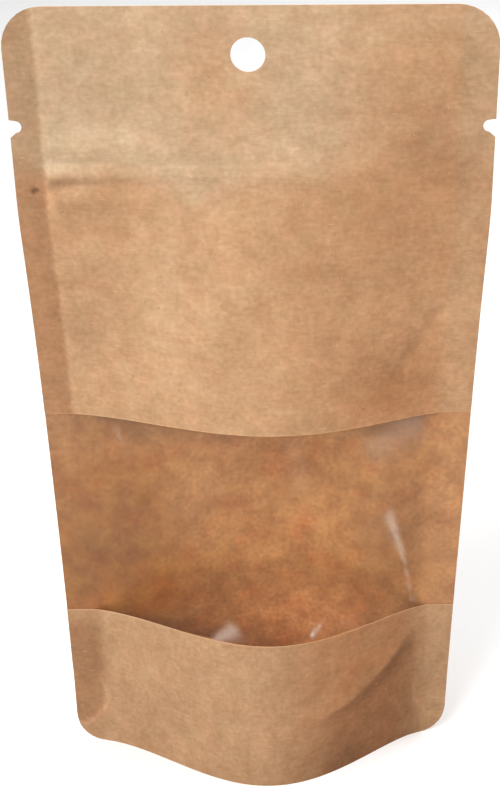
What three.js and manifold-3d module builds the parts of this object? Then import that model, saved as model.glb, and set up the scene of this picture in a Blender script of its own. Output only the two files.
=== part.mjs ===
// Kraft paper stand-up pouch with a clear window across the front, empty, standing on its opened base.
// Millimetres, +Z up. The origin is on the floor under the middle of the pouch, and the front faces -Y.
import * as THREE from 'three';
import { mergeVertices } from 'three/addons/utils/BufferGeometryUtils.js';
import Module from 'manifold-3d';

// Driving dimensions
const WIDTH = 110; // the flat bag, across both side seals
const HEIGHT = 192; // from the floor to the top edge
const SEAL = 7; // width of each side seal
const PAPER = 0.6; // one wall: paper and its lining, thickened so that it can be a solid
const FILM = 0.3; // the clear film of the window
const GAP = 0.3; // left between the film and the paper round it
const TOP_CORNER = 9.5; // corner radii
const BASE_CORNER = 8;

const BASE_DEPTH = 41.6; // front to back at the floor, between the two panels
const ZIP_HEIGHT = 148; // below this the two panels part, above it they lie pressed together
const TAPER_SHARE = 0.655; // share of the depth that is lost steadily on the way up to the zip
const TAPER_POWER = 1.33;
const PINCH_POWER = 10; // the rest is lost in a quick pinch just below the zip
const BACK_FLATTER = 0.35; // how much less the back panel swells than the front one
const BACK_FLATTER_FROM = 45; // height at which it has become that flat

const SWELL_POWER = 0.69; // 1 swells as a plain cosine from seal to seal, less is fuller at the sides
const SKEW = 0.1; // the swell is fullest this share of the way from the middle to the right seal
const BOW = 6; // the side seams lean back by this much at half height
const TWIST = 5.2; // the base is turned against the top by this much at each side

const WINDOW_BOTTOM = 37.9;
const WINDOW_TOP = 92.3;

const GUSSET_FOLD = 35; // height of the gusset's fold when the bag is flat
const GUSSET_FOOT = 6; // height at which the gusset leaves the panels in the middle
const GUSSET_ROUND = 1.35; // 1 is a sharp roof over the base, 2 a round arch

const HOLE_HEIGHT = 181.1;
const HOLE_RADIUS = 3.9;
const NOTCH_HEIGHT = 164.7;
const NOTCH_DEPTH = 2.8;
const NOTCH_UPPER_LIP = 1.6; // from its middle to where its lips meet the edge
const NOTCH_LOWER_LIP = 2.6;
const NOTCH_TIP = 1.4; // radius of its round end

const RIDGE_HEIGHTS = [147.6, 153]; // the two rails of the zip inside press these ridges through
const RIDGE_RISE = 0.45;
const RIDGE_REACH = 2.2;

const SLIT = 0.05; // half of the least space between two panels that part
const COLUMNS = 26; // faces across each panel
const FLATNESS = 0.02; // faces that lie this close to one plane are joined
const OUTSIDE = 60; // further out than any part of the pouch

const clamp = THREE.MathUtils.clamp;

// Half of the space between the panels in the middle of the pouch
function depth(z) {
  const rise = clamp(z / ZIP_HEIGHT, 0, 1);
  const taper = TAPER_SHARE * rise ** TAPER_POWER;
  const pinch = (1 - TAPER_SHARE) * rise ** PINCH_POWER;
  return (BASE_DEPTH / 2) * (1 - taper - pinch);
}

function backDepth(z) {
  return depth(z) * (1 - BACK_FLATTER * clamp(z / BACK_FLATTER_FROM, 0, 1));
}

// A swollen panel keeps its width, so its seams draw in: half of the space between the side seals
function seamHalf(z) {
  const flat = WIDTH / 2 - SEAL;
  const drawn = (Math.PI * depth(z)) ** 2 / 4;
  return (flat + Math.sqrt(flat ** 2 - drawn)) / 2;
}

// How far a corner of this radius cuts into the edge at this distance from the end of the bag
function cornerCut(radius, distance) {
  const inside = clamp(radius - distance, 0, radius);
  return radius - Math.sqrt(radius ** 2 - inside ** 2);
}

function edgeHalf(z) {
  return seamHalf(z) + SEAL - cornerCut(BASE_CORNER, z) - cornerCut(TOP_CORNER, HEIGHT - z);
}

// The surface in which the two panels meet. Towards the floor it turns about the pouch's fullest line.
function meeting(x, z) {
  const up = clamp(z / HEIGHT, 0, 1);
  const fromFullest = x - SKEW * seamHalf(0);
  return 4 * BOW * up * (1 - up) + TWIST * (fromFullest / (WIDTH / 2)) * (1 - up);
}

// 0 at the side seals and 1 where the panel stands out furthest
function swell(x, z) {
  const across = clamp(x / seamHalf(z), -1, 1);
  const skewed = across - SKEW * (1 - across ** 2);
  return ((1 + Math.cos(Math.PI * skewed)) / 2) ** SWELL_POWER;
}

function zipRidge(z) {
  let rise = 0;
  for (const height of RIDGE_HEIGHTS) {
    const near = clamp(Math.abs(z - height) / RIDGE_REACH, 0, 1);
    rise += RIDGE_RISE * (1 + Math.cos(Math.PI * near)) / 2;
  }
  return rise;
}

const frontInside = (x, z) => meeting(x, z) - depth(z) * swell(x, z);
const backInside = (x, z) => meeting(x, z) + backDepth(z) * swell(x, z);
const frontOutside = (x, z) => frontInside(x, z) - PAPER - zipRidge(z);
const backOutside = (x, z) => backInside(x, z) + PAPER + zipRidge(z);

// Evenly spaced numbers from first to last
function steps(first, last, count) {
  return Array.from({ length: count + 1 }, (_, i) => first + ((last - first) * i) / count);
}

// The closed solid between two surfaces given on the same grid. near faces the side from which
// the columns run to the right and the rows run up, and far is behind it.
function between(columns, rows, near, far) {
  const wide = columns.length;
  const tall = rows.length;
  const positions = [];
  for (const surface of [near, far]) {
    for (const row of rows) {
      for (const column of columns) positions.push(...surface(column, row));
    }
  }
  const at = (side, i, j) => side * wide * tall + j * wide + i;
  const indices = [];
  const quad = (a, b, c, d) => indices.push(a, b, c, a, c, d);
  for (let j = 0; j < tall - 1; j += 1) {
    for (let i = 0; i < wide - 1; i += 1) {
      quad(at(0, i, j), at(0, i + 1, j), at(0, i + 1, j + 1), at(0, i, j + 1));
      quad(at(1, i, j), at(1, i, j + 1), at(1, i + 1, j + 1), at(1, i + 1, j));
    }
    quad(at(0, 0, j), at(0, 0, j + 1), at(1, 0, j + 1), at(1, 0, j));
    quad(at(0, wide - 1, j), at(1, wide - 1, j), at(1, wide - 1, j + 1), at(0, wide - 1, j + 1));
  }
  for (let i = 0; i < wide - 1; i += 1) {
    quad(at(0, i, 0), at(1, i, 0), at(1, i + 1, 0), at(0, i + 1, 0));
    quad(at(0, i, tall - 1), at(0, i + 1, tall - 1), at(1, i + 1, tall - 1), at(1, i, tall - 1));
  }
  const geometry = new THREE.BufferGeometry();
  geometry.setAttribute('position', new THREE.Float32BufferAttribute(positions, 3));
  geometry.setIndex(indices);
  return geometry;
}

const wasm = await Module();
wasm.setup();

function toSolid(geometry) {
  const bare = geometry.clone();
  bare.deleteAttribute('normal');
  bare.deleteAttribute('uv');
  const merged = mergeVertices(bare, 1e-4);
  return new wasm.Manifold(new wasm.Mesh({
    numProp: 3,
    vertProperties: new Float32Array(merged.attributes.position.array),
    triVerts: new Uint32Array(merged.index.array),
  }));
}

function toGeometry(solid) {
  const mesh = solid.getMesh();
  const geometry = new THREE.BufferGeometry();
  geometry.setAttribute('position', new THREE.BufferAttribute(mesh.vertProperties, 3));
  geometry.setIndex(new THREE.BufferAttribute(mesh.triVerts, 1));
  geometry.computeVertexNormals();
  return geometry;
}

// Rows that follow a quarter round corner, from the end of the bag inwards
function cornerRows(radius, count) {
  return steps(0, Math.PI / 2, count).map((turn) => radius * (1 - Math.cos(turn)));
}

const acrossBag = steps(-1, 1, COLUMNS);

// Both panels as one flat-topped block, with its rounded corners
function outerBlock() {
  const rows = [
    ...cornerRows(BASE_CORNER, 4),
    ...steps(BASE_CORNER, RIDGE_HEIGHTS[0] - 2 * RIDGE_REACH, 15).slice(1),
    ...steps(RIDGE_HEIGHTS[0] - RIDGE_REACH, RIDGE_HEIGHTS[1] + RIDGE_REACH, 10),
    ...steps(NOTCH_HEIGHT, HEIGHT - TOP_CORNER, 2),
    ...cornerRows(TOP_CORNER, 5).reverse().slice(1).map((drop) => HEIGHT - drop),
  ];
  return between(
    acrossBag,
    rows,
    (across, z) => [across * edgeHalf(z), frontOutside(across * edgeHalf(z), z), z],
    (across, z) => [across * edgeHalf(z), backOutside(across * edgeHalf(z), z), z],
  );
}

// The space between the panels, from below the floor up to the zip
function innerSpace() {
  const rows = [-1, ...steps(0, ZIP_HEIGHT, 15)];
  const half = (z) => 0.965 * seamHalf(z);
  return between(
    acrossBag,
    rows,
    (across, z) => [across * half(z), frontInside(across * half(z), z) - SLIT, z],
    (across, z) => [across * half(z), backInside(across * half(z), z) + SLIT, z],
  );
}

// Height at which the gusset is sealed to the panels: low in the middle, up to its fold at the sides
function gussetFoot(x) {
  const across = clamp(x / seamHalf(0), -1, 1);
  return GUSSET_FOLD - (GUSSET_FOLD - GUSSET_FOOT) * Math.sqrt(1 - across ** 2);
}

// The gusset stands as a roof between the panels. toBack runs from -1 at the front to 1 at the back.
function gussetPoint(x, toBack, side) {
  const foot = gussetFoot(x);
  const toWall = swell(x, foot) * (toBack < 0 ? depth(foot) : backDepth(foot)) + PAPER / 2;
  const half = swell(x, foot) * (depth(foot) + backDepth(foot)) / 2;
  const peak = Math.sqrt(Math.max((GUSSET_FOLD - foot) ** 2 - half ** 2, 0));
  const thick = Math.min(PAPER * Math.hypot(1, peak / Math.max(half, 1)), 4);
  const z = foot + peak * (1 - Math.abs(toBack) ** GUSSET_ROUND) + (side * thick) / 2;
  return [x, meeting(x, foot) + toBack * toWall, z];
}

function gusset() {
  const columns = acrossBag.map((across) => 0.975 * across * seamHalf(0));
  const rows = steps(1, -1, 12);
  return between(
    columns,
    rows,
    (x, toBack) => gussetPoint(x, toBack, -1),
    (x, toBack) => gussetPoint(x, toBack, 1),
  );
}

// Everything in front of the surface in which the panels meet, over the height of the window
function windowCut() {
  return between(
    acrossBag.map((across) => across * OUTSIDE),
    steps(WINDOW_BOTTOM, WINDOW_TOP, 6),
    (x, z) => [x, -OUTSIDE, z],
    (x, z) => [x, meeting(x, z), z],
  );
}

function hangHole() {
  const geometry = new THREE.CylinderGeometry(HOLE_RADIUS, HOLE_RADIUS, OUTSIDE, 32);
  return geometry.translate(0, 0, HOLE_HEIGHT);
}

// A notch with a round end in the edge on this side, cut right through both panels
function tearNotch(side) {
  const centre = WIDTH / 2 - NOTCH_DEPTH + NOTCH_TIP;
  const outline = new THREE.Shape();
  outline.moveTo(OUTSIDE, -NOTCH_LOWER_LIP);
  outline.lineTo(OUTSIDE, NOTCH_UPPER_LIP);
  outline.lineTo(WIDTH / 2, NOTCH_UPPER_LIP);
  outline.absarc(centre, 0, NOTCH_TIP, Math.PI / 2, (3 * Math.PI) / 2, false);
  outline.lineTo(WIDTH / 2, -NOTCH_LOWER_LIP);
  outline.closePath();
  const geometry = new THREE.ExtrudeGeometry(outline, { depth: OUTSIDE, bevelEnabled: false, curveSegments: 5 });
  geometry.translate(0, 0, -OUTSIDE / 2);
  geometry.rotateX(Math.PI / 2);
  if (side < 0) geometry.rotateZ(Math.PI);
  return geometry.translate(0, 0, NOTCH_HEIGHT);
}

function kraftPouch() {
  const space = toSolid(innerSpace()).subtract(toSolid(gusset()));
  let pouch = toSolid(outerBlock()).subtract(space).subtract(toSolid(windowCut()));
  pouch = pouch.subtract(toSolid(hangHole()));
  for (const side of [-1, 1]) pouch = pouch.subtract(toSolid(tearNotch(side)));
  return toGeometry(pouch.simplify(FLATNESS));
}

// The film fills the window from edge to edge, flush with the paper above and below it
function windowFilm() {
  return between(
    acrossBag,
    steps(WINDOW_BOTTOM + GAP, WINDOW_TOP - GAP, 6),
    (across, z) => [across * edgeHalf(z), frontOutside(across * edgeHalf(z), z), z],
    (across, z) => [across * edgeHalf(z), frontOutside(across * edgeHalf(z), z) + FILM, z],
  );
}

const kraft = new THREE.MeshStandardMaterial({ color: 0xc69a6b, roughness: 0.85, metalness: 0 });
const clearFilm = new THREE.MeshStandardMaterial({
  color: 0xf2ece2, roughness: 0.15, metalness: 0, transparent: true, opacity: 0.25,
});

function named(name, geometry, material) {
  const mesh = new THREE.Mesh(geometry, material);
  mesh.name = name;
  return mesh;
}

const pouch = new THREE.Group();
pouch.add(named('kraft_pouch', kraftPouch(), kraft));
pouch.add(named('window_film', windowFilm(), clearFilm));

export default pouch;
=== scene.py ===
import math

import bpy
import numpy as np
from mathutils import Matrix, Vector
from mathutils.geometry import delaunay_2d_cdt


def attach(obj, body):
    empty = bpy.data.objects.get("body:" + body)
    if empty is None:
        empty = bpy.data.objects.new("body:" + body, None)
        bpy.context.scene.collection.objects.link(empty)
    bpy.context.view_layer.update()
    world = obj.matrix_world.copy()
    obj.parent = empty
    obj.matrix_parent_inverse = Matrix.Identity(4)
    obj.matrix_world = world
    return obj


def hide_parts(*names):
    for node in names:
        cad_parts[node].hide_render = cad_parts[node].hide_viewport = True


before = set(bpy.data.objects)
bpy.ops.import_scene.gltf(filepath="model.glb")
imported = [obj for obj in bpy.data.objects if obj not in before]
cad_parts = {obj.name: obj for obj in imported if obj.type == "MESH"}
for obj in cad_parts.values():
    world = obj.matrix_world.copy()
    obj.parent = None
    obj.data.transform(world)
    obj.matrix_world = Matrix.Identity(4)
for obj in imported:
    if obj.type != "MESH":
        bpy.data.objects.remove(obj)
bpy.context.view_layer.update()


# ---- The back panel ---------------------------------------------------------------------------
# One ply of brown kraft paper laminated to a glossy lining, die-cut with rounded corners, a hang
# hole and two tear notches. Heat seals join it to the front panel down both sides, and below the
# zip it swells backwards to about two thirds of the front panel's swell.

# Sizes are in millimetres, as in the bag's own drawing, and a mesh is scaled once, when it is made.
MM = 0.001
WIDTH = 110
HEIGHT = 192
SEAL = 7
FLAT_HALF = WIDTH / 2 - SEAL
PLY = 0.16
TOP_CORNER = 9.5
BASE_CORNER = 8
HOLE_HEIGHT = 181.1
HOLE_RADIUS = 3.9
HOLE_POINTS = 36
NOTCH_HEIGHT = 164.7
NOTCH_DEPTH = 2.8
NOTCH_TIP = 1.4
NOTCH_UPPER_LIP = 1.6
NOTCH_LOWER_LIP = 2.6
# The grid of points in a ply, and how far it stays from the knife's line
STEP = 1.0
CLEAR_OF_KNIFE = 0.55 * STEP
SAME_POINT = 1e-5
LIP = 0.35
SHARP_ANGLE = 40

BASE_DEPTH = 41.6
ZIP_HEIGHT = 148
TAPER_SHARE = 0.655
TAPER_POWER = 1.33
PINCH_POWER = 10
BACK_FLATTER = 0.35
BACK_FLATTER_FROM = 45
SWELL_POWER = 0.69
SKEW = 0.1
BOW = 6
TWIST = 5.2
HALF_MOON_HEIGHT = 13.5
HALF_MOON_RADIUS = 8
HALF_MOON_PRESS = 0.3
HALF_MOON_EDGE = (-0.3, 0.5)
SEAL_DENT = (-50.4, 149.4)
DENT_RADIUS = 0.8
DENT_RISE = 0.5
DENT_SPAN = 1.4
DENT_STEP = 0.28
# Each rail of the zip: its height, its rise, and its reach above and below its crest
ZIP_RAILS = ((153.0, 1.3, 2.6, 1.1), (147.6, 1.0, 2.2, 2.0))
ZIP_ON_BACK = 0.4
RIDGE_END = 2


def arc(across, up, radius, start, end, count=9):
    """Points on a circle about (across, up), between two angles in degrees."""
    angles = np.radians(np.linspace(start, end, count))
    return [(across + radius * math.cos(a), up + radius * math.sin(a)) for a in angles]


def right_edge(bottom, top):
    """The knife's line up the right side of a flat ply."""
    line = [(WIDTH / 2, bottom)]
    if bottom == 0:
        line = arc(WIDTH / 2 - BASE_CORNER, BASE_CORNER, BASE_CORNER, -90, 0)
    if bottom < NOTCH_HEIGHT < top:
        tip = WIDTH / 2 - NOTCH_DEPTH + NOTCH_TIP
        line.append((WIDTH / 2, NOTCH_HEIGHT - NOTCH_LOWER_LIP))
        line += arc(tip, NOTCH_HEIGHT, NOTCH_TIP, 270, 90)
        line.append((WIDTH / 2, NOTCH_HEIGHT + NOTCH_UPPER_LIP))
    if top == HEIGHT:
        return line + arc(WIDTH / 2 - TOP_CORNER, HEIGHT - TOP_CORNER, TOP_CORNER, 0, 90)
    return line + [(WIDTH / 2, top)]


def walked(line):
    """The closed line again, with points no further apart than STEP."""
    points = []
    for (ax, az), (bx, bz) in zip(line, line[1:] + line[:1]):
        count = max(1, math.ceil(math.hypot(bx - ax, bz - az) / STEP))
        points += [(ax + (bx - ax) * i / count, az + (bz - az) * i / count) for i in range(count)]
    return points


def window_lip(bottom, top):
    """Points close behind the straight cuts, so that the painted highlight along the paper's lip
    there stays narrow.
    """
    heights = [up for up, cut in ((bottom + LIP, bottom > 0), (top - LIP, top < HEIGHT)) if cut]
    line = np.arange(-WIDTH / 2 + STEP, WIDTH / 2, STEP)
    return np.array([(across, up) for up in heights for across in line]).reshape(-1, 2)


def round_dent(bottom, top):
    """Close points about the small dent in the left seal, which is finer than the grid."""
    if not bottom < SEAL_DENT[1] < top:
        return np.empty((0, 2))
    steps = np.arange(-DENT_SPAN, DENT_SPAN, DENT_STEP)
    return np.array([(SEAL_DENT[0] + aside, SEAL_DENT[1] + rise) for aside in steps for rise in steps])


def die_cut(bottom, top):
    """A flat ply between two heights: its points (across, up) and its triangles."""
    right = right_edge(bottom, top)
    left = [(-across, up) for across, up in reversed(right)]
    outline = walked(right + left)
    loops = [list(range(len(outline)))]
    if bottom < HOLE_HEIGHT < top:
        hole = arc(0, HOLE_HEIGHT, HOLE_RADIUS, 0, 360 - 360 / HOLE_POINTS, HOLE_POINTS)
        loops.append(list(range(len(outline), len(outline) + len(hole))))
        outline += hole
    knife = np.array(outline)
    # The rows are staggered by half a step, so that the triangles come out even
    columns = np.arange(-WIDTH / 2 + STEP / 2, WIDTH / 2, STEP)
    grid = []
    for row, up in enumerate(np.arange(bottom + STEP, top, STEP)):
        shift = STEP / 2 * (row % 2)
        grid += [(across + shift, up) for across in columns]
    grid = np.array(grid)
    apart = np.linalg.norm(grid[:, None] - knife[None], axis=2).min(axis=1)
    finer = [window_lip(bottom, top), round_dent(bottom, top)]
    points = np.vstack([knife, grid[apart > CLEAR_OF_KNIFE], *finer])
    edges = [(a, b) for loop in loops for a, b in zip(loop, loop[1:] + loop[:1])]
    flat = [Vector(point) for point in points.tolist()]
    flat, _, triangles, *_ = delaunay_2d_cdt(flat, edges, [], 1, SAME_POINT)
    flat = np.array([tuple(point) for point in flat])
    triangles = np.array([tuple(triangle) for triangle in triangles])
    middles = flat[triangles].mean(axis=1)
    in_hole = np.hypot(middles[:, 0], middles[:, 1] - HOLE_HEIGHT) < HOLE_RADIUS
    return flat, triangles[~in_hole]


def depth(up):
    """Half of the space between the panels in the middle of the bag."""
    rise = np.clip(up / ZIP_HEIGHT, 0, 1)
    lost = TAPER_SHARE * rise**TAPER_POWER + (1 - TAPER_SHARE) * rise**PINCH_POWER
    return BASE_DEPTH / 2 * (1 - lost)


def back_depth(up):
    """The same for the back panel, which is flatter from a little above the floor."""
    return depth(up) * (1 - BACK_FLATTER * np.clip(up / BACK_FLATTER_FROM, 0, 1))


def seam_half(up):
    """Half of the space between the side seals, which the swelling draws in."""
    return (FLAT_HALF + np.sqrt(FLAT_HALF**2 - (math.pi * depth(up)) ** 2 / 4)) / 2


def drawn_in(across, up):
    """Where a point of the flat ply comes to lie once the bag has swollen."""
    between_seals = np.clip(across, -FLAT_HALF, FLAT_HALF)
    return between_seals * seam_half(up) / FLAT_HALF + across - between_seals


def meeting(x, up):
    """The surface in which the two panels meet: it bows backwards and turns towards the floor."""
    share = np.clip(up / HEIGHT, 0, 1)
    turned = (x - SKEW * seam_half(0)) / (WIDTH / 2)
    return 4 * BOW * share * (1 - share) + TWIST * turned * (1 - share)


def swell(x, up):
    """0 at the side seals and 1 where a panel stands out furthest."""
    share = np.clip(x / seam_half(up), -1, 1)
    skewed = share - SKEW * (1 - share**2)
    return ((1 + np.cos(math.pi * skewed)) / 2) ** SWELL_POWER


def smooth_step(value, start, end):
    """0 up to start and 1 from end on, with a soft rise between. start may be the higher one."""
    share = np.clip((value - start) / (end - start), 0, 1)
    return share * share * (3 - 2 * share)


def dent(x, up, middle, radius, rise):
    """A round bump of this rise, with soft sides."""
    return rise * np.exp(-((x - middle[0]) ** 2 + (up - middle[1]) ** 2) / radius**2)


def half_moon(x, up, wider=0):
    """1 inside the half-moons that are pressed into the two lower corners, 0 outside."""
    off = np.hypot(np.abs(x) - seam_half(up) - SEAL, up - HALF_MOON_HEIGHT)
    return smooth_step(HALF_MOON_RADIUS + wider - off, *HALF_MOON_EDGE)


def sealed(x, up):
    """The meeting surface with what is pressed into the side seals, which moves both panels."""
    pressed = HALF_MOON_PRESS * half_moon(x, up)
    return meeting(x, up) + pressed + dent(x, up, SEAL_DENT, DENT_RADIUS, DENT_RISE)


def ridge(x, up, height, rise, above, below):
    """A ridge across the bag between its side seals, that reaches its own way up and down."""
    reach = np.where(up > height, above, below)
    ends = smooth_step(FLAT_HALF - np.abs(x), 0, RIDGE_END)
    return rise * np.exp(-(((up - height) / reach) ** 2)) * ends


def zip_relief(x, up):
    """The two rails of the zip inside, pressed through a panel."""
    return sum(ridge(x, up, *rail) for rail in ZIP_RAILS)


def back_inside(x, up):
    return sealed(x, up) + back_depth(up) * swell(x, up)


def back_surface(across, up):
    x = drawn_in(across, up)
    return x, back_inside(x, up) + ZIP_ON_BACK * zip_relief(x, up) + PLY


def settled(obj):
    """The object's modifiers become part of its mesh, and its sharp edges stay sharp."""
    graph = bpy.context.evaluated_depsgraph_get()
    mesh = bpy.data.meshes.new_from_object(obj.evaluated_get(graph))
    obj.modifiers.clear()
    obj.data = mesh
    mesh.set_sharp_from_angle(angle=math.radians(SHARP_ANGLE))
    return obj


def ply(name, flat, triangles, surface, thickness, materials, **shades):
    """A closed sheet of this thickness, laid out from the surface towards the inside of the bag.
    outer= and inner= are functions that give a face's darkness and warmth at each point, from -1
    to 1."""
    x, y = surface(flat[:, 0], flat[:, 1])
    mesh = bpy.data.meshes.new(name)
    places = np.column_stack([x, y, flat[:, 1]]) * MM
    mesh.from_pydata(places.tolist(), [], triangles.tolist())
    uv = mesh.uv_layers.new(name="flat")
    corners = np.zeros(len(mesh.loops), dtype=int)
    mesh.loops.foreach_get("vertex_index", corners)
    uv.data.foreach_set("uv", (flat[corners] * MM).ravel())
    for face in ("outer", "inner"):
        given = shades[face](flat[:, 0], flat[:, 1]) if face in shades else (0, 0)
        for kind, values in zip(("darkness", "warmth"), given):
            attribute = mesh.attributes.new(f"{face}_{kind}", "FLOAT", "POINT")
            attribute.data.foreach_set("value", 0.5 + 0.5 * values * np.ones(len(flat)))
    mesh.shade_smooth()
    for material in materials:
        mesh.materials.append(material)
    obj = bpy.data.objects.new(name, mesh)
    bpy.context.collection.objects.link(obj)
    solid = obj.modifiers.new("ply", "SOLIDIFY")
    solid.thickness = thickness * MM
    solid.offset = -1
    solid.material_offset = 1
    solid.material_offset_rim = 2
    return settled(obj)


def new_material(name, colour, roughness):
    """A material with one Principled shader. Returns it, its node tree and the shader."""
    material = bpy.data.materials.new(name)
    material.use_nodes = True
    tree = material.node_tree
    shader = tree.nodes["Principled BSDF"]
    shader.inputs["Base Color"].default_value = (*colour, 1)
    shader.inputs["Roughness"].default_value = roughness
    return material, tree, shader


def noise(tree, scale, detail=3, stretch=(1, 1), seed=0):
    """Noise on the flat ply. The scale is in features to the metre."""
    place = tree.nodes.new("ShaderNodeUVMap")
    place.uv_map = "flat"
    mapping = tree.nodes.new("ShaderNodeMapping")
    mapping.inputs["Scale"].default_value = (*stretch, 1)
    mapping.inputs["Location"].default_value = (seed, seed * 0.7, 0)
    pattern = tree.nodes.new("ShaderNodeTexNoise")
    pattern.inputs["Scale"].default_value = scale
    pattern.inputs["Detail"].default_value = detail
    tree.links.new(place.outputs["UV"], mapping.inputs["Vector"])
    tree.links.new(mapping.outputs["Vector"], pattern.inputs["Vector"])
    return pattern.outputs["Fac"]


def tinted(tree, colour, amount, low, high, start=0.35, end=0.65, middle=None):
    """The colour times a tint that runs from low to high as amount goes from start to end."""
    ramp = tree.nodes.new("ShaderNodeValToRGB")
    ramp.color_ramp.elements[0].position = start
    ramp.color_ramp.elements[0].color = (*low, 1)
    ramp.color_ramp.elements[1].position = end
    ramp.color_ramp.elements[1].color = (*high, 1)
    if middle:
        ramp.color_ramp.elements.new((start + end) / 2).color = (*middle, 1)
    mix = tree.nodes.new("ShaderNodeMix")
    mix.data_type = "RGBA"
    mix.blend_type = "MULTIPLY"
    mix.inputs[0].default_value = 1
    tree.links.new(amount, ramp.inputs["Fac"])
    if isinstance(colour, tuple):
        mix.inputs[6].default_value = (*colour, 1)
    else:
        tree.links.new(colour, mix.inputs[6])
    tree.links.new(ramp.outputs["Color"], mix.inputs[7])
    return mix.outputs[2]


def clouded(tree, colour, layers):
    """The colour tinted by layers of noise. Each has its features to the metre, its detail, its
    seed and its tints where the noise is low and high, and may end with where the tint starts and
    stops changing."""
    for scale, detail, seed, low, high, *span in layers:
        colour = tinted(tree, colour, noise(tree, scale, detail, seed=seed), low, high, *span)
    return colour


def bumped(tree, shader, amount, height):
    """The shader's surface raised by up to this height, in millimetres."""
    bump = tree.nodes.new("ShaderNodeBump")
    bump.inputs["Strength"].default_value = 1
    bump.inputs["Distance"].default_value = height * MM
    tree.links.new(amount, bump.inputs["Height"])
    tree.links.new(bump.outputs["Normal"], shader.inputs["Normal"])


def shade(tree, name):
    """A face's darkness or warmth, its own tone together with painted light and shade: 0 at the
    least, 0.5 where it is plain and 1 at the most.
    """
    attribute = tree.nodes.new("ShaderNodeAttribute")
    attribute.attribute_name = name
    return attribute.outputs["Fac"]


# The tints where a face is palest, where it is plain and where it is darkest
PALEST = (1.5, 1.5, 1.5)
PLAIN = (1, 1, 1)
DARKEST = (0.5, 0.5, 0.5)


def shaded(tree, colour, face, coolest, warmest):
    """The colour made darker and warmer where that face of the ply is, by its own tone and by painted
    light and shade. coolest and warmest are the tints where its warmth is least and most."""
    darkness = shade(tree, f"{face}_darkness")
    colour = tinted(tree, colour, darkness, PALEST, DARKEST, 0, 1)
    warmth = shade(tree, f"{face}_warmth")
    return tinted(tree, colour, warmth, coolest, warmest, 0, 1, PLAIN)


KRAFT = (0.42, 0.256, 0.147)
KRAFT_ROUGH = 0.78
KRAFT_GLOSS = 0.35
KRAFT_GRAIN = 0.05
KRAFT_CLOUDS = (
    (75, 3, 1, (0.93, 0.91, 0.88), (1.05, 1.04, 1.03)),
    (240, 3, 2, (0.93, 0.92, 0.89), (1.06, 1.07, 1.08)),
    (170, 3, 5, (1.02, 0.98, 0.97), (0.99, 1.01, 1.0)),
)
KRAFT_SPECKLE = ((800, 3, 4, (0.91, 0.90, 0.88), (1.07, 1.08, 1.10), 0.3, 0.7),)


def kraft_paper():
    """Unbleached paper: cloudy, with a fine grain across the bag and a speckle of short fibres."""
    material, tree, shader = new_material("kraft_paper", KRAFT, KRAFT_ROUGH)
    shader.inputs["Specular IOR Level"].default_value = KRAFT_GLOSS
    grain = noise(tree, 900, detail=4, stretch=(0.35, 1.6), seed=3)
    colour = clouded(tree, KRAFT, KRAFT_CLOUDS)
    colour = tinted(tree, colour, grain, (0.95, 0.95, 0.93), (1.04, 1.05, 1.06), 0.3, 0.7)
    colour = clouded(tree, colour, KRAFT_SPECKLE)
    colour = shaded(tree, colour, "outer", (1, 1.35, 1.7), (1, 0.7, 0.5))
    tree.links.new(colour, shader.inputs["Base Color"])
    bumped(tree, shader, grain, KRAFT_GRAIN)
    return material


LINING = (0.44, 0.194, 0.062)
LINING_ROUGH = 0.42
LINING_GLOSS = 0.4
LINING_WRINKLE = 0.12
LINING_CLOUDS = (
    (60, 5, 11, (0.90, 0.87, 0.83), (1.06, 1.08, 1.1)),
    (200, 7, 12, (0.85, 0.81, 0.77), (1.11, 1.15, 1.18)),
    (120, 6, 13, (1.04, 0.90, 0.80), (1, 1.02, 1.0), 0.3, 0.5),
    (900, 3, 15, (0.885, 0.87, 0.855), (1.08, 1.095, 1.11)),
)


def glossy_lining():
    """The clear inner film over the paper's wet-looking, darker inner face."""
    material, tree, shader = new_material("glossy_lining", LINING, LINING_ROUGH)
    shader.inputs["Specular IOR Level"].default_value = LINING_GLOSS
    colour = clouded(tree, LINING, LINING_CLOUDS)
    colour = shaded(tree, colour, "inner", (1, 1.15, 1.7), (1, 0.86, 0.45))
    tree.links.new(colour, shader.inputs["Base Color"])
    bumped(tree, shader, noise(tree, 300, seed=14), LINING_WRINKLE)
    return material


CUT_EDGE = (0.66, 0.47, 0.30)
CUT_EDGE_ROUGH = 0.9
CUT_EDGE_CLOUDS = ((1500, 3, 21, (0.88, 0.86, 0.84), (1.08, 1.08, 1.08)),)


def cut_edge():
    """The pale core of the paper where the knife went through."""
    material, tree, shader = new_material("cut_edge", CUT_EDGE, CUT_EDGE_ROUGH)
    colour = clouded(tree, CUT_EDGE, CUT_EDGE_CLOUDS)
    tree.links.new(colour, shader.inputs["Base Color"])
    return material


def patches(x, up, spots):
    """Soft oval patches, each given by its middle, its reach across and up, and its strength."""
    return sum(
        strength * np.exp(-(((x - across) / wide) ** 2) - ((up - height) / tall) ** 2)
        for across, height, wide, tall, strength in spots
    )


def back_paper_shades(across, up):
    """The pressed seals are a shade darker, and the flat top is cooler."""
    seals = smooth_step(np.abs(across) - FLAT_HALF, -0.5, 0.3)
    flat_top = smooth_step(up, 144, 154)
    return 0.1 + 0.25 * seals, 0.15 * seals - 0.2 * flat_top


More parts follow.
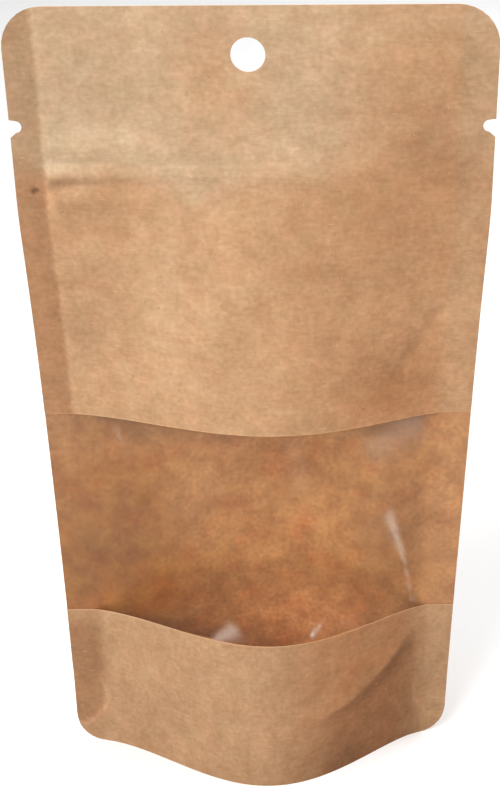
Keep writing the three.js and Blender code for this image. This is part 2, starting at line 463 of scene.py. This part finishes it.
LINING_TONE = 0.1
# Soft patches of painted light and shade on the lining
LINING_DARKER = (
    (2, 28, 24, 26, -0.9),
    (-45, 84, 8, 6, -0.2),
    (-28, 38, 9, 7, -0.5),
    (-30, 77, 7, 8, -0.3),
    (-38, 76, 8, 9, -0.22),
    (8, 81, 24, 5, -0.3),
    (24, 77, 16, 6, -0.25),
    (-29.4, 67.7, 2.5, 2.5, 0.15),
    (31, 54, 12, 12, 0.28),
    (18, 24, 20, 10, -0.35),
    (8, 31, 20, 6, -0.3),
    (-34, 38, 8, 7, -0.25),
    (-44, 50, 6, 12, 0.2),
)
# Soft patches where the lining's painted shade is warmer or cooler
LINING_WARMER = (
    (-30, 40, 9, 9, 0.7),
    (-34, 44, 12, 11, 0.5),
    (-17, 66, 8, 10, -0.2),
    (-29.4, 67.7, 2.5, 2.5, 0.6),
    (22, 25, 18, 9, -0.6),
    (6, 77, 9, 7, 0.6),
    (10, 40, 18, 18, -0.3),
    (34, 56, 12, 16, -0.2),
    (38, 50, 6, 8, 0.3),
)


def lining_shades(across, up):
    """Painted shade and light on the lining: it is darker at the sides, most on the left, and paler
    low down in the middle. The painted shade is warmer on the left and cooler beside the seals."""
    x = drawn_in(across, up)
    left = 0.65 * smooth_step(-x, 14, 34)
    right = 0.22 * smooth_step(x, 22, 32) * smooth_step(x, 46, 38)
    darkness = LINING_TONE + left + right
    beside_seals = 0.08 * smooth_step(x, 42, 46) - 0.12 * smooth_step(-x, 44, 49)
    darkness += beside_seals
    darkness += patches(x, up, LINING_DARKER)
    warmth = 0.5 * smooth_step(-x, 15, 32) * smooth_step(up, 86, 74)
    cool_left = 0.35 * smooth_step(-x, 42, 48) * smooth_step(up, 58, 70)
    warmth -= 0.35 * smooth_step(x, 40, 46) + cool_left
    warmth += patches(x, up, LINING_WARMER)
    return darkness, warmth


outside, inside, core = kraft_paper(), glossy_lining(), cut_edge()
flat, triangles = die_cut(0, HEIGHT)
back_panel = ply(
    "back_panel",
    flat,
    triangles[:, ::-1],
    back_surface,
    PLY,
    [outside, inside, core],
    outer=back_paper_shades,
    inner=lining_shades,
)
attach(back_panel, "root")
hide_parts("kraft_pouch")


# ---- The front panel above the window -----------------------------------------------------------
# The upper half of the front ply, from the window's edge to the top. The two rails of the zip
# inside press ridges through it, strongest at the left seal, and handling has left a soft fold
# beside the right one.

WINDOW_BOTTOM = 37.9
WINDOW_TOP = 92.3
# The room that the film has behind the paper. The film itself is half as thick, so that it lies
# clear of the lining where the bag is flat
FILM_ROOM = 0.05
ROLL_ABOVE_ZIP = (160.5, 1.4, 8.0, 2.6)
ZIP_FAINTEST = 0.1
ZIP_FADES_AT = -20
ZIP_FADES_OVER = 8
SOFT_FOLD = ((46, 121), (31, 99), -1.5, 4)
PUFF = 0.15
PUFF_EDGE = (-0.3, 0.8)


def crease(x, up, start, end, rise, reach, crest=0.8):
    """A ridge from start to end, or with a negative rise a valley, that fades out at both ends. It
    falls away over its reach, and its crest is rounded over its own width."""
    along = np.subtract(end, start)
    length = math.hypot(*along)
    ahead, aside = along / length
    dx, dz = x - start[0], up - start[1]
    share = np.clip((dx * ahead + dz * aside) / length, 0, 1)
    off = np.hypot(dx - share * along[0], dz - share * along[1])
    taper = np.sin(math.pi * share) ** 0.5
    return rise * np.exp(-(np.sqrt(off**2 + crest**2) - crest) / reach) * taper


def front_relief(x, up):
    """How far the front panel stands out from the plain swollen form."""
    fading = 1 + np.exp((x - ZIP_FADES_AT) / ZIP_FADES_OVER)
    zip_strength = ZIP_FAINTEST + (1 - ZIP_FAINTEST) / fading
    relief = zip_strength * (zip_relief(x, up) + ridge(x, up, *ROLL_ABOVE_ZIP))
    relief += crease(x, up, *SOFT_FOLD)
    relief += PUFF * smooth_step(seam_half(up) - np.abs(x), *PUFF_EDGE)
    return relief


def front_inside(x, up, relief=front_relief):
    """The front panel's inner face, which never goes behind the back panel."""
    plain = sealed(x, up) - depth(up) * swell(x, up)
    return np.minimum(plain - relief(x, up), back_inside(x, up))


def front_surface(lift, relief=front_relief):
    """The surface of a ply that lies this far in front of the front panel's inner face."""

    def surface(across, up):
        x = drawn_in(across, up)
        return x, front_inside(x, up, relief) - lift

    return surface


# Each crest with a painted highlight: its height, its reach and how much paler it is
LIT_CRESTS = ((154.8, 1.6, 0.32), (149.4, 1.2, 0.1))
ZIP_SHADING_FADE = 14
ZIP_SHADING_START = 1.5
# The painted shadow in the crease waves a little, and at the left seal it dips and widens
ZIP_CREASE_HEIGHT = 151.8
ZIP_CREASE_DARK = 0.75
ZIP_CREASE_WAVE = 0.25
ZIP_CREASE_WAVELENGTH = 2.6
ZIP_CREASE_DIP = 1.4
ZIP_CREASE_DIP_REACH = 4
ZIP_CREASE_WIDTH = 0.5
ZIP_CREASE_WIDER = 0.8
ZIP_CREASE_WIDER_REACH = 6


def zip_light_and_shade(x, up):
    """Painted highlights on the crests of the zip's rails, and a painted shadow in the crease between.
    """
    from_seal = np.maximum(x + FLAT_HALF, 0)
    reach = np.exp(-from_seal / ZIP_SHADING_FADE) * smooth_step(x + FLAT_HALF, 0, ZIP_SHADING_START)
    crests = sum(
        -paler * np.exp(-(((up - height) / spread) ** 2)) for height, spread, paler in LIT_CRESTS
    )
    dip = ZIP_CREASE_DIP * np.exp(-((from_seal / ZIP_CREASE_DIP_REACH) ** 2))
    height = ZIP_CREASE_HEIGHT - dip + ZIP_CREASE_WAVE * np.sin(x / ZIP_CREASE_WAVELENGTH)
    wider = ZIP_CREASE_WIDER * np.exp(-((from_seal / ZIP_CREASE_WIDER_REACH) ** 2))
    width = ZIP_CREASE_WIDTH + wider
    fold = ZIP_CREASE_DARK * np.exp(-(((up - height) / width) ** 2))
    return (crests + fold) * reach


# Painted shade in the small dent in the left seal: its two ends, its strength, reach and crest
DENT_SHADE = ((-51.3, 149.0), (-49.5, 149.9), 1.4, 0.25, 0.15)
# A painted highlight along the paper's lip at the window
TOP_LIP_HIGHLIGHT = 0.5
# Soft patches of painted light and shade on the upper panel, first in darkness and then in warmth
TOP_DARKER = (
    (-40, 175, 7, 9, 0.2),
    (17, 189, 15, 8, -0.16),
    (-36, 160.5, 15, 4, -0.34),
    (-20, 156.9, 26, 1.2, 0.16),
    (-47, 146, 1.3, 5, -0.35),
    (-32, 144.5, 15, 3.5, 0.2),
    (-4, 150, 13, 7, -0.12),
    (-40, 128, 8, 20, 0.2),
    (-44.5, 122, 3, 22, 0.15),
    (5, 159, 20, 5, -0.14),
    (-2, 155, 16, 3.5, -0.08),
    (-46, 172, 5, 5, 0.15),
    (-45.5, 155, 3.5, 1.5, -0.2),
    (-47, 158, 2.5, 6, 0.22),
    (-9, 181, 5, 6, 0.12),
    (42.5, 168, 6, 16, 0.12),
    (34, 118, 8, 12, -0.1),
    (-42, 111, 5, 7, 0.25),
    (18, 134, 11, 14, 0.16),
    (39, 155, 15, 20, 0.28),
    (37, 99, 9, 8, 0.2),
)
TOP_WARMER = (
    (-38, 160, 15, 8, -0.2),
    (35, 98, 13, 12, 0.35),
    (-9, 177, 8, 13, 0.3),
    (-2, 168, 8, 8, 0.12),
    (38, 189, 13, 5, -0.15),
    (39, 162, 14, 20, 0.15),
    (-34, 145, 15, 5, 0.12),
    (-45, 155, 5, 2, -0.3),
    (-21, 125, 9, 22, -0.12),
    (11, 122, 8, 20, 0.1),
)


def top_shades(across, up):
    """The left seal is darker and warmer, and the flat top above the zip carries a cool painted
    sheen, most on the left. The right side has warmer painted shade, soft patches of painted light
    and shade make the rest uneven, and a painted highlight runs along the lip."""
    left_seal = smooth_step(-across - FLAT_HALF, -0.5, 0.3)
    right_seal = smooth_step(across - FLAT_HALF, -2, 0)
    darkness = 0.46 * left_seal + 0.08 * right_seal
    darkness += crease(across, up, *DENT_SHADE) + zip_light_and_shade(across, up)
    darkness -= TOP_LIP_HIGHLIGHT * smooth_step(up, WINDOW_TOP + LIP, WINDOW_TOP)
    darkness += patches(across, up, TOP_DARKER)
    # The painted sheen on the flat top begins at the zip, and its lower edge dips left of the middle
    dips = 9 * smooth_step(across, -30, -12)
    climbs = smooth_step(across, -12, 2)
    cooler = 0.4 * smooth_step(up, 150 - dips + 4 * climbs, 161 - dips + 7 * climbs)
    cooler *= smooth_step(across, 40, 9)
    # Warmer painted shade on the right below the top
    warmer = 0.2 * smooth_step(across, 2, 28) * smooth_step(up, 165, 150)
    warm_seal = left_seal * (0.25 + 0.08 * smooth_step(up, 150, 120))
    warmth = warmer - cooler + warm_seal - 0.2 * right_seal
    warmth += patches(across, up, TOP_WARMER)
    return darkness, warmth


flat, triangles = die_cut(WINDOW_TOP, HEIGHT)
front_top = ply(
    "front_top",
    flat,
    triangles,
    front_surface(FILM_ROOM + PLY),
    PLY,
    [outside, inside, core],
    outer=top_shades,
)
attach(front_top, "root")
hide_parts("kraft_pouch")


# ---- The front panel below the window -----------------------------------------------------------
# The lower part of the front ply, sealed to the gusset along the U-shaped line, which shows as a
# crease at the right. A half-moon is pressed into each lower corner, where the gusset has a
# cut-out and the two panels are sealed straight to each other.

SEAL_LINE_TOP = 43
SEAL_LINE_FOOT = 14.0
SEAL_LINE_RISE = 2.0
SEAL_LINE_DIP = 1.4
SEAL_LINE_ABOVE = 9
SEAL_LINE_BELOW = 1.4
SEAL_LINE_DIP_FADES = 9
# Where the crease begins at the right, and where it ends higher up and at the side seal
SEAL_LINE_FROM = (13, 26)
SEAL_LINE_UP_TO = (32, 27)
SEAL_LINE_TO_SIDE = (0, 4)
# The slope of the line is upright at its very ends, so it is reckoned up to this share of the way
NEARLY_UPRIGHT = 0.995


def seal_line_off(x, up):
    """How far a point lies outside the U-shaped line, square to it."""
    half = seam_half(0)
    share = np.clip(x / half, -NEARLY_UPRIGHT, NEARLY_UPRIGHT)
    drop = SEAL_LINE_TOP - SEAL_LINE_FOOT
    height = SEAL_LINE_TOP - drop * np.sqrt(1 - share**2)
    slope = drop * share / half / np.sqrt(1 - share**2)
    return (up - height) / np.hypot(1, slope)


def seal_line_relief(x, up):
    """On the right the panel stands up to the gusset's seal, and drops sharply on the corner's
    side."""
    off = seal_line_off(x, up)
    reach = np.where(off > 0, SEAL_LINE_ABOVE, SEAL_LINE_BELOW)
    rise = SEAL_LINE_RISE * np.exp(-((off / reach) ** 2))
    below = np.maximum(-off, 0)
    dip = SEAL_LINE_DIP * (1 - np.exp(-((below / SEAL_LINE_BELOW) ** 2)))
    dip *= np.exp(-((below / SEAL_LINE_DIP_FADES) ** 2))
    ends = smooth_step(seam_half(up) - x, *SEAL_LINE_TO_SIDE) * smooth_step(up, *SEAL_LINE_UP_TO)
    return (rise - dip) * smooth_step(x, *SEAL_LINE_FROM) * ends


def base_relief(x, up):
    return front_relief(x, up) + seal_line_relief(x, up)


# Painted shade over the whole lower part
BASE_PAINTED_SHADE = 0.2
# A painted highlight along the paper's lip at the window
BASE_LIP_HIGHLIGHT = 0.45
# Soft patches of painted shade low down
BASE_DARKER = ((19, 2, 12, 8, 0.35), (-38, 5, 12, 5, 0.08))


def base_shades(across, up):
    """The lower part has painted shade that makes it a shade darker than the upper one. The left seal
    and its half-moon are darker still, and painted shade darkens the corner that is folded in at the
    right. The right side has warmer painted shade, and painted highlights run round the foot of each
    half-moon and along the lip."""
    x = drawn_in(across, up)
    left_seal = smooth_step(-across, FLAT_HALF - 3.5, FLAT_HALF) * smooth_step(up, 38, 31)
    left_seal *= smooth_step(up, 14, 22)
    moon = half_moon(x, up)
    # A painted highlight round the foot of each half-moon
    rim = (half_moon(x, up, 0.9) - half_moon(x, up, 0.3)) * smooth_step(up, 19, 14)
    below_line = smooth_step(-seal_line_off(x, up), -0.3, 1)
    below_line *= smooth_step(seam_half(up) - x, -2, 3)
    # Painted shade on the corner that is folded in at the right
    corner = below_line * smooth_step(x, 14, 25) * smooth_step(up, *SEAL_LINE_UP_TO)
    right_seal = smooth_step(across, FLAT_HALF - 2, FLAT_HALF + 1)
    darkness = BASE_PAINTED_SHADE + np.maximum(0.4 * left_seal, np.where(x < 0, 0.33, -0.1) * moon)
    darkness += 0.36 * corner - 0.35 * rim
    darkness += 0.1 * right_seal * smooth_step(up, 36, 30)
    darkness -= BASE_LIP_HIGHLIGHT * smooth_step(up, WINDOW_BOTTOM - LIP, WINDOW_BOTTOM)
    darkness += patches(x, up, BASE_DARKER)
    # Warmer painted shade on the right side
    warmth = 0.6 * smooth_step(x, 0, 26) * smooth_step(across, 52, 38) + 0.1 * corner
    warmth += 0.32 * np.maximum(left_seal, moon * (x < 0))
    return darkness, warmth


flat, triangles = die_cut(0, WINDOW_BOTTOM)
front_base = ply(
    "front_base",
    flat,
    triangles,
    front_surface(FILM_ROOM + PLY, base_relief),
    PLY,
    [outside, inside, core],
    outer=base_shades,
)
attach(front_base, "root")
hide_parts("kraft_pouch")


# ---- The gusset -------------------------------------------------------------------------------
# A third ply of the same paper, folded up between the panels with its paper side down and sealed
# to both along a U-shaped line. The bag stands on the panels' edges, and the gusset arches over
# the floor between them.

GUSSET_FOLD = 35
GUSSET_FOOT = 6
GUSSET_ROUND = 1.35
GUSSET_COLUMNS = 90
GUSSET_ARCH_ROWS = 40
GUSSET_SKIRT_ROWS = 8
GUSSET_SHARE = 0.955
GUSSET_CLEAR = 0.25
# How dark and how warm the lining on its upper side is made: painted light leaves it a little
# paler and cooler than plain
GUSSET_PAINTED_LIGHT = (-0.4, -0.1)


def gusset_foot(x):
    """The height at which the gusset leaves the panels."""
    share = np.clip(x / seam_half(0), -1, 1)
    return GUSSET_FOLD - (GUSSET_FOLD - GUSSET_FOOT) * np.sqrt(1 - share**2)


def gusset_point(x, along):
    """How far back and how high the gusset is. along runs from -2 at the front edge on the floor,
    over the arch, to 2 at the back edge."""
    foot = gusset_foot(x)
    to_back = min(max(along, -1), 1)
    up = foot * (2 - abs(along)) if abs(along) > 1 else foot
    front = front_inside(x, up, base_relief) + GUSSET_CLEAR
    back = back_inside(x, up) - GUSSET_CLEAR
    y = front + (back - front) * (to_back + 1) / 2
    if abs(along) > 1:
        return y, up
    peak = math.sqrt(max((GUSSET_FOLD - foot) ** 2 - (back - front) ** 2 / 4, 0))
    height = foot + peak * (1 - abs(to_back) ** GUSSET_ROUND)
    nearest = front_inside(x, height, base_relief) + GUSSET_CLEAR
    furthest = back_inside(x, height) - GUSSET_CLEAR
    return min(max(y, nearest), max(furthest, nearest)), height


def gusset_sheet():
    """The gusset as a grid, its paper side down: its points and its faces."""
    spread = np.sin(np.linspace(-1, 1, GUSSET_COLUMNS + 1) * math.pi / 2)
    columns = spread * GUSSET_SHARE * seam_half(0)
    skirt = np.linspace(2, 1, GUSSET_SKIRT_ROWS, endpoint=False)
    rows = np.concatenate([-skirt, np.linspace(-1, 1, GUSSET_ARCH_ROWS + 1), skirt[::-1]])
    points = [(x, *gusset_point(x, along)) for along in rows for x in columns]
    wide = len(columns)
    corners = [row * wide + i for row in range(len(rows) - 1) for i in range(wide - 1)]
    faces = [(a, a + 1, a + wide + 1, a + wide) for a in corners]
    return np.array(points), np.array(faces)[:, ::-1]


points, faces = gusset_sheet()
gusset = ply(
    "gusset",
    points[:, [0, 2]],
    faces,
    lambda across, up: (points[:, 0], points[:, 1]),
    PLY,
    [outside, inside, core],
    inner=lambda across, up: GUSSET_PAINTED_LIGHT,
)
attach(gusset, "root")
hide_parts("kraft_pouch")


# ---- The window film ----------------------------------------------------------------------------
# A band of clear film right across the front, laminated to the back of the paper above and below
# the opening. It is a little cloudy, and carries painted glints along a few shallow creases.

FILM = FILM_ROOM / 2
OVERLAP = 4
# Each painted glint along a crease: its two ends, how wide it is at either, and how bright it is
FILM_GLINTS = (
    ((32.6, 68.8), (37.4, 52), 1.2, 0.35, 0.48),
    ((36.6, 55), (39.8, 38), 0.35, 0.2, 0.28),
    ((-11, 37.4), (-3.9, 42.8), 0.7, 2.4, 0.36),
    ((13.9, 38.9), (16.3, 42.6), 0.5, 0.3, 0.85),
    ((9.2, 93), (13, 76), 2.6, 2.2, 0.04),
    ((26, 85), (42, 92), 3.5, 4.5, 0.14),
    ((-34.5, 91), (-32.5, 83), 0.6, 0.3, 0.12),
)
MARK_RISE = 0.06
MARK_SHARP_SIDE = 1.6
MARK_SOFT_SIDE = 0.7


def crease_glint(x, up, start, end, first_width, last_width, white):
    """A painted glint along a crease in the film, fading out at its ends, sharper on the left as one
    goes along it.
    """
    along = np.subtract(end, start)
    length = math.hypot(*along)
    ahead, aside = along / length
    dx, dz = x - start[0], up - start[1]
    share = (dx * ahead + dz * aside) / length
    width = first_width + (last_width - first_width) * np.clip(share, 0, 1)
    off = (dz * ahead - dx * aside) / width
    fade = smooth_step(share, -0.05, 0.2) * smooth_step(share, 1.05, 0.75)
    return white * fade * np.exp(-(off**2) * np.where(off > 0, MARK_SHARP_SIDE, MARK_SOFT_SIDE))


def glint_strength(x, up):
    """1 at the brightest painted glint, 0 where the film is clear."""
    return sum(crease_glint(x, up, *each) for each in FILM_GLINTS)


def film_relief(x, up):
    return base_relief(x, up) + MARK_RISE * glint_strength(x, up)


def film_shades(across, up):
    """The film's darkness carries its painted glints, and it has no warmth of its own."""
    return glint_strength(drawn_in(across, up), up), 0


# The colour of the film's faint haze and of its painted glints
HAZE_AND_GLINT = (0.68, 0.56, 0.47)
HAZE_AND_GLINT_ROUGH = 0.16
FILM_ROUGH = 0.12
# How much of the cloudy layer shows where the film is clear and at the brightest painted glint
VEIL = (0.015, 0.6)
# How much the film reflects face on and at grazing sight, and how steeply it changes between
REFLECTED = (0.007, 0.5)
STEEPNESS = 4
RIPPLE = 0.3


def clear_film():
    """Clear gloss film: see-through, with a faint veil that thickens into painted glints along its
    creases, and with reflections that grow towards grazing sight."""
    material, tree, shader = new_material("clear_film", HAZE_AND_GLINT, HAZE_AND_GLINT_ROUGH)
    see_through = tree.nodes.new("ShaderNodeBsdfTransparent")
    gloss = tree.nodes.new("ShaderNodeBsdfGlossy")
    gloss.inputs["Roughness"].default_value = FILM_ROUGH
    veil = tree.nodes.new("ShaderNodeMapRange")
    veil.inputs["From Min"].default_value = 0.5
    veil.inputs["To Min"].default_value = VEIL[0]
    veil.inputs["To Max"].default_value = VEIL[1]
    tree.links.new(shade(tree, "outer_darkness"), veil.inputs["Value"])
    grazing = tree.nodes.new("ShaderNodeLayerWeight")
    grazing.inputs["Blend"].default_value = 0.5
    steep = tree.nodes.new("ShaderNodeMath")
    steep.operation = "POWER"
    steep.inputs[1].default_value = STEEPNESS
    tree.links.new(grazing.outputs["Facing"], steep.inputs[0])
    reflected = tree.nodes.new("ShaderNodeMapRange")
    reflected.inputs["To Min"].default_value = REFLECTED[0]
    reflected.inputs["To Max"].default_value = REFLECTED[1]
    tree.links.new(steep.outputs["Value"], reflected.inputs["Value"])
    body = see_through.outputs["BSDF"]
    for amount, layer in ((veil, shader), (reflected, gloss)):
        blend = tree.nodes.new("ShaderNodeMixShader")
        tree.links.new(amount.outputs["Result"], blend.inputs["Fac"])
        tree.links.new(body, blend.inputs[1])
        tree.links.new(layer.outputs["BSDF"], blend.inputs[2])
        body = blend.outputs["Shader"]
    tree.links.new(body, tree.nodes["Material Output"].inputs["Surface"])
    ripples = noise(tree, 60, seed=31)
    bumped(tree, shader, ripples, RIPPLE)
    bumped(tree, gloss, ripples, RIPPLE)
    return material


film = clear_film()
flat, triangles = die_cut(WINDOW_BOTTOM - OVERLAP, WINDOW_TOP + OVERLAP)
clear_band = ply(
    "clear_band",
    flat,
    triangles,
    front_surface(FILM_ROOM, film_relief),
    FILM,
    [film, film, film],
    outer=film_shades,
)
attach(clear_band, "root")
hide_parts("window_film")


# ---- The fibres in the paper --------------------------------------------------------------------
# Kraft pulp is coarse: short pale fibres and a few dark specks of bark lie in its surface on the
# panels' outer faces. Each one is a bent thread half sunk into the paper.

# A thread one unit long, before it is given its length
THREAD = ((-0.5, 0, 0), (0, 0.08, 0.02), (0.5, 0, 0))
THREAD_POINTS = 4
THREAD_SIDES = 4
# The shortest and longest threads, as shares of the given length
THREAD_SIZES = (0.4, 1.3)


def fibre_tree():
    """Threads scattered over the faces that have the paper's material."""
    tree = bpy.data.node_groups.new("scatter_fibres", "GeometryNodeTree")
    sockets = tree.interface
    sockets.new_socket("Geometry", in_out="INPUT", socket_type="NodeSocketGeometry")
    for name, kind in (
        ("Fibres per square metre", "NodeSocketFloat"),
        ("Length", "NodeSocketFloat"),
        ("Radius", "NodeSocketFloat"),
        ("Lowest", "NodeSocketFloat"),
        ("Seed", "NodeSocketInt"),
        ("Paper", "NodeSocketMaterial"),
        ("Fibre", "NodeSocketMaterial"),
    ):
        sockets.new_socket(name, in_out="INPUT", socket_type=kind)
    sockets.new_socket("Geometry", in_out="OUTPUT", socket_type="NodeSocketGeometry")
    add = tree.nodes.new
    link = tree.links.new
    given = add("NodeGroupInput").outputs

    on_paper = add("GeometryNodeMaterialSelection")
    link(given["Paper"], on_paper.inputs["Material"])
    place = add("ShaderNodeSeparateXYZ")
    link(add("GeometryNodeInputPosition").outputs["Position"], place.inputs["Vector"])
    off_floor = add("ShaderNodeMath")
    off_floor.operation = "GREATER_THAN"
    link(place.outputs["Z"], off_floor.inputs[0])
    link(given["Lowest"], off_floor.inputs[1])
    chosen = add("ShaderNodeMath")
    chosen.operation = "MULTIPLY"
    link(on_paper.outputs["Selection"], chosen.inputs[0])
    link(off_floor.outputs["Value"], chosen.inputs[1])
    scatter = add("GeometryNodeDistributePointsOnFaces")
    link(given["Geometry"], scatter.inputs["Mesh"])
    link(chosen.outputs["Value"], scatter.inputs["Selection"])
    link(given["Fibres per square metre"], scatter.inputs["Density"])
    link(given["Seed"], scatter.inputs["Seed"])

    thread = add("GeometryNodeCurveQuadraticBezier")
    thread.inputs["Resolution"].default_value = THREAD_POINTS
    for end, point in zip(("Start", "Middle", "End"), THREAD):
        thread.inputs[end].default_value = point
    length = add("ShaderNodeCombineXYZ")
    for axis in "XYZ":
        link(given["Length"], length.inputs[axis])
    sized = add("GeometryNodeTransform")
    link(thread.outputs["Curve"], sized.inputs["Geometry"])
    link(length.outputs["Vector"], sized.inputs["Scale"])
    round_section = add("GeometryNodeCurvePrimitiveCircle")
    round_section.inputs["Resolution"].default_value = THREAD_SIDES
    link(given["Radius"], round_section.inputs["Radius"])
    tube = add("GeometryNodeCurveToMesh")
    tube.inputs["Fill Caps"].default_value = True
    link(sized.outputs["Geometry"], tube.inputs["Curve"])
    link(round_section.outputs["Curve"], tube.inputs["Profile Curve"])

    spin = add("FunctionNodeRandomValue")
    spin.data_type = "FLOAT"
    spin.inputs[2].default_value = 0
    spin.inputs[3].default_value = math.pi
    link(given["Seed"], spin.inputs["Seed"])
    spin_axis = add("ShaderNodeCombineXYZ")
    link(spin.outputs[1], spin_axis.inputs["Z"])
    turned = add("FunctionNodeRotateRotation")
    turned.rotation_space = "LOCAL"
    link(scatter.outputs["Rotation"], turned.inputs["Rotation"])
    link(spin_axis.outputs["Vector"], turned.inputs["Rotate By"])
    size = add("FunctionNodeRandomValue")
    size.data_type = "FLOAT"
    size.inputs[2].default_value = THREAD_SIZES[0]
    size.inputs[3].default_value = THREAD_SIZES[1]
    link(given["Seed"], size.inputs["Seed"])
    laid = add("GeometryNodeInstanceOnPoints")
    link(scatter.outputs["Points"], laid.inputs["Points"])
    link(tube.outputs["Mesh"], laid.inputs["Instance"])
    link(turned.outputs["Rotation"], laid.inputs["Rotation"])
    link(size.outputs[1], laid.inputs["Scale"])

    real = add("GeometryNodeRealizeInstances")
    finish = add("GeometryNodeSetMaterial")
    link(laid.outputs["Instances"], real.inputs["Geometry"])
    link(real.outputs["Geometry"], finish.inputs["Geometry"])
    link(given["Fibre"], finish.inputs["Material"])
    link(finish.outputs["Geometry"], add("NodeGroupOutput").inputs["Geometry"])
    return tree


def scattered(name, paper, tree, values):
    """Makes a piece of fibres over one ply. values are the tree's inputs by name."""
    obj = bpy.data.objects.new(name, paper.data.copy())
    bpy.context.collection.objects.link(obj)
    modifier = obj.modifiers.new("fibres", "NODES")
    modifier.node_group = tree
    for socket in tree.interface.items_tree:
        if socket.in_out == "INPUT" and socket.name in values:
            modifier[socket.identifier] = values[socket.name]
    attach(settled(obj), "root")


pale_fibre = new_material("pale_fibre", (0.56, 0.39, 0.25), 0.7)[0]
dark_speck = new_material("dark_speck", (0.20, 0.11, 0.06), 0.8)[0]
# Each kind: how many to the square metre, its length and radius, its first seed and its material
FIBRE_KINDS = (
    ("fibres", 25000.0, 0.8, 0.03, 0, pale_fibre),
    ("specks", 1500.0, 0.4, 0.07, 10, dark_speck),
)
FIBRES_FROM_FLOOR = 1.2

fibres = fibre_tree()
for order, paper in enumerate((front_top, front_base, back_panel)):
    for kind, density, length, radius, first_seed, fibre in FIBRE_KINDS:
        values = {
            "Fibres per square metre": density,
            "Length": length * MM,
            "Radius": radius * MM,
            "Lowest": FIBRES_FROM_FLOOR * MM,
            "Seed": first_seed + order,
            "Paper": outside,
            "Fibre": fibre,
        }
        scattered(f"{paper.name}_{kind}", paper, fibres, values)


# ---- The studio -----------------------------------------------------------------------------------
# A near-white floor and surround, a soft key light from the upper left in front, a broad light
# overhead, a third from behind at the right, and the camera at the photograph's place.

# Places and lengths here are in metres, and angles in degrees.
FLOOR_HALF = 3
FLOOR_WHITE = (0.92, 0.92, 0.92)
FLOOR_ROUGH = 0.9
SURROUND_STRENGTH = 0.35
MIDDLE_OF_BAG = (0, 0, 0.09)
# Each light: its place, the side of its square and its power in watts
LIGHTS = (
    ("key", (-0.36, -0.56, 0.58), 0.5, 5.9),
    ("top", (0, 0.5, 2.2), 2.5, 24),
    ("back", (0.9, 0.7, 0.6), 0.8, 6),
)
CAMERA_PLACE = (0.029225, -0.329701, 0.246361)
CAMERA_YAW = 5.2432
CAMERA_PITCH = 23.8276
CAMERA_ROLL = -1.2459
CAMERA_NEAREST = 0.01
# The focal length and the photograph's height are in pixels
CAMERA_FOCUS = 1500
PHOTO_HEIGHT = 786

mesh = bpy.data.meshes.new("floor")
corners = [(-1, -1), (1, -1), (1, 1), (-1, 1)]
mesh.from_pydata([(x * FLOOR_HALF, y * FLOOR_HALF, 0) for x, y in corners], [], [(0, 1, 2, 3)])
floor = bpy.data.objects.new("floor", mesh)
bpy.context.collection.objects.link(floor)
mesh.materials.append(new_material("white_floor", FLOOR_WHITE, FLOOR_ROUGH)[0])

scene = bpy.context.scene
scene.view_settings.view_transform = "Standard"
scene.view_settings.look = "Medium High Contrast"
world = bpy.data.worlds.new("studio")
world.use_nodes = True
background = world.node_tree.nodes["Background"]
background.inputs["Color"].default_value = (1, 1, 1, 1)
background.inputs["Strength"].default_value = SURROUND_STRENGTH
scene.world = world

for name, place, size, power in LIGHTS:
    light = bpy.data.objects.new(name, bpy.data.lights.new(name, "AREA"))
    light.data.size = size
    light.data.energy = power
    light.location = place
    towards = Vector(MIDDLE_OF_BAG) - light.location
    light.rotation_euler = towards.to_track_quat("-Z", "Y").to_euler()
    bpy.context.collection.objects.link(light)

camera = bpy.data.objects.new("camera", bpy.data.cameras.new("camera"))
camera.data.lens = camera.data.sensor_width * CAMERA_FOCUS / PHOTO_HEIGHT
camera.data.clip_start = CAMERA_NEAREST
camera.matrix_world = (
    Matrix.Translation(CAMERA_PLACE)
    @ Matrix.Rotation(math.radians(CAMERA_YAW), 4, "Z")
    @ Matrix.Rotation(math.radians(90 - CAMERA_PITCH), 4, "X")
    @ Matrix.Rotation(math.radians(CAMERA_ROLL), 4, "Z")
)
bpy.context.collection.objects.link(camera)
scene.camera = camera
